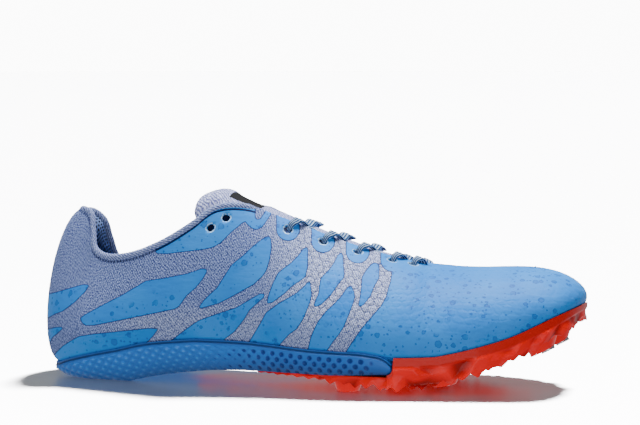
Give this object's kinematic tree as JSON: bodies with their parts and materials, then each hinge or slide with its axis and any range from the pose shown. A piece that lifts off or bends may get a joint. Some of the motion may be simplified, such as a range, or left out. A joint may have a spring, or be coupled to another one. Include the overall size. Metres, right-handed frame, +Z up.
{
  "type": "track spike shoe",
  "caption": "Low right sprint spike shoe with a thin hollow knit upper, foam heel, stiff toothed forefoot plate with metal spike sockets, tongue and flat lace bars.",
  "frame": {"origin": "centre of the bounding box, on the floor that the shoe stands on", "axes": "+X towards the toe, +Y towards the medial (inner) side of this right shoe, +Z up"},
  "size_m": [0.281, 0.0988, 0.0956],
  "materials": {
    "knit": "blue film panels on lavender grey knit",
    "tongue_knit": "lavender grey knit",
    "lining": "dark blue mesh",
    "insole_cloth": "dark blue cloth",
    "foam": "blue foam with small cast bumps",
    "plate": "glossy orange red",
    "steel": "turned",
    "lace": "flat striped weave"
  },
  "bodies": {
    "root": {"upper": "knit", "tongue": "tongue_knit", "collar_pad": "lining", "insole": "insole_cloth", "foam_sole": "foam", "spike_plate": "plate", "spike_socket_1": "steel", "spike_socket_2": "steel", "spike_socket_3": "steel", "spike_socket_4": "steel", "spike_socket_5": "steel", "spike_socket_6": "steel", "spike_socket_7": "steel", "lace_bar_1": "lace", "lace_bar_2": "lace", "lace_bar_3": "lace", "lace_bar_4": "lace", "lace_bar_5": "lace"}
  },
  "joints": []
}
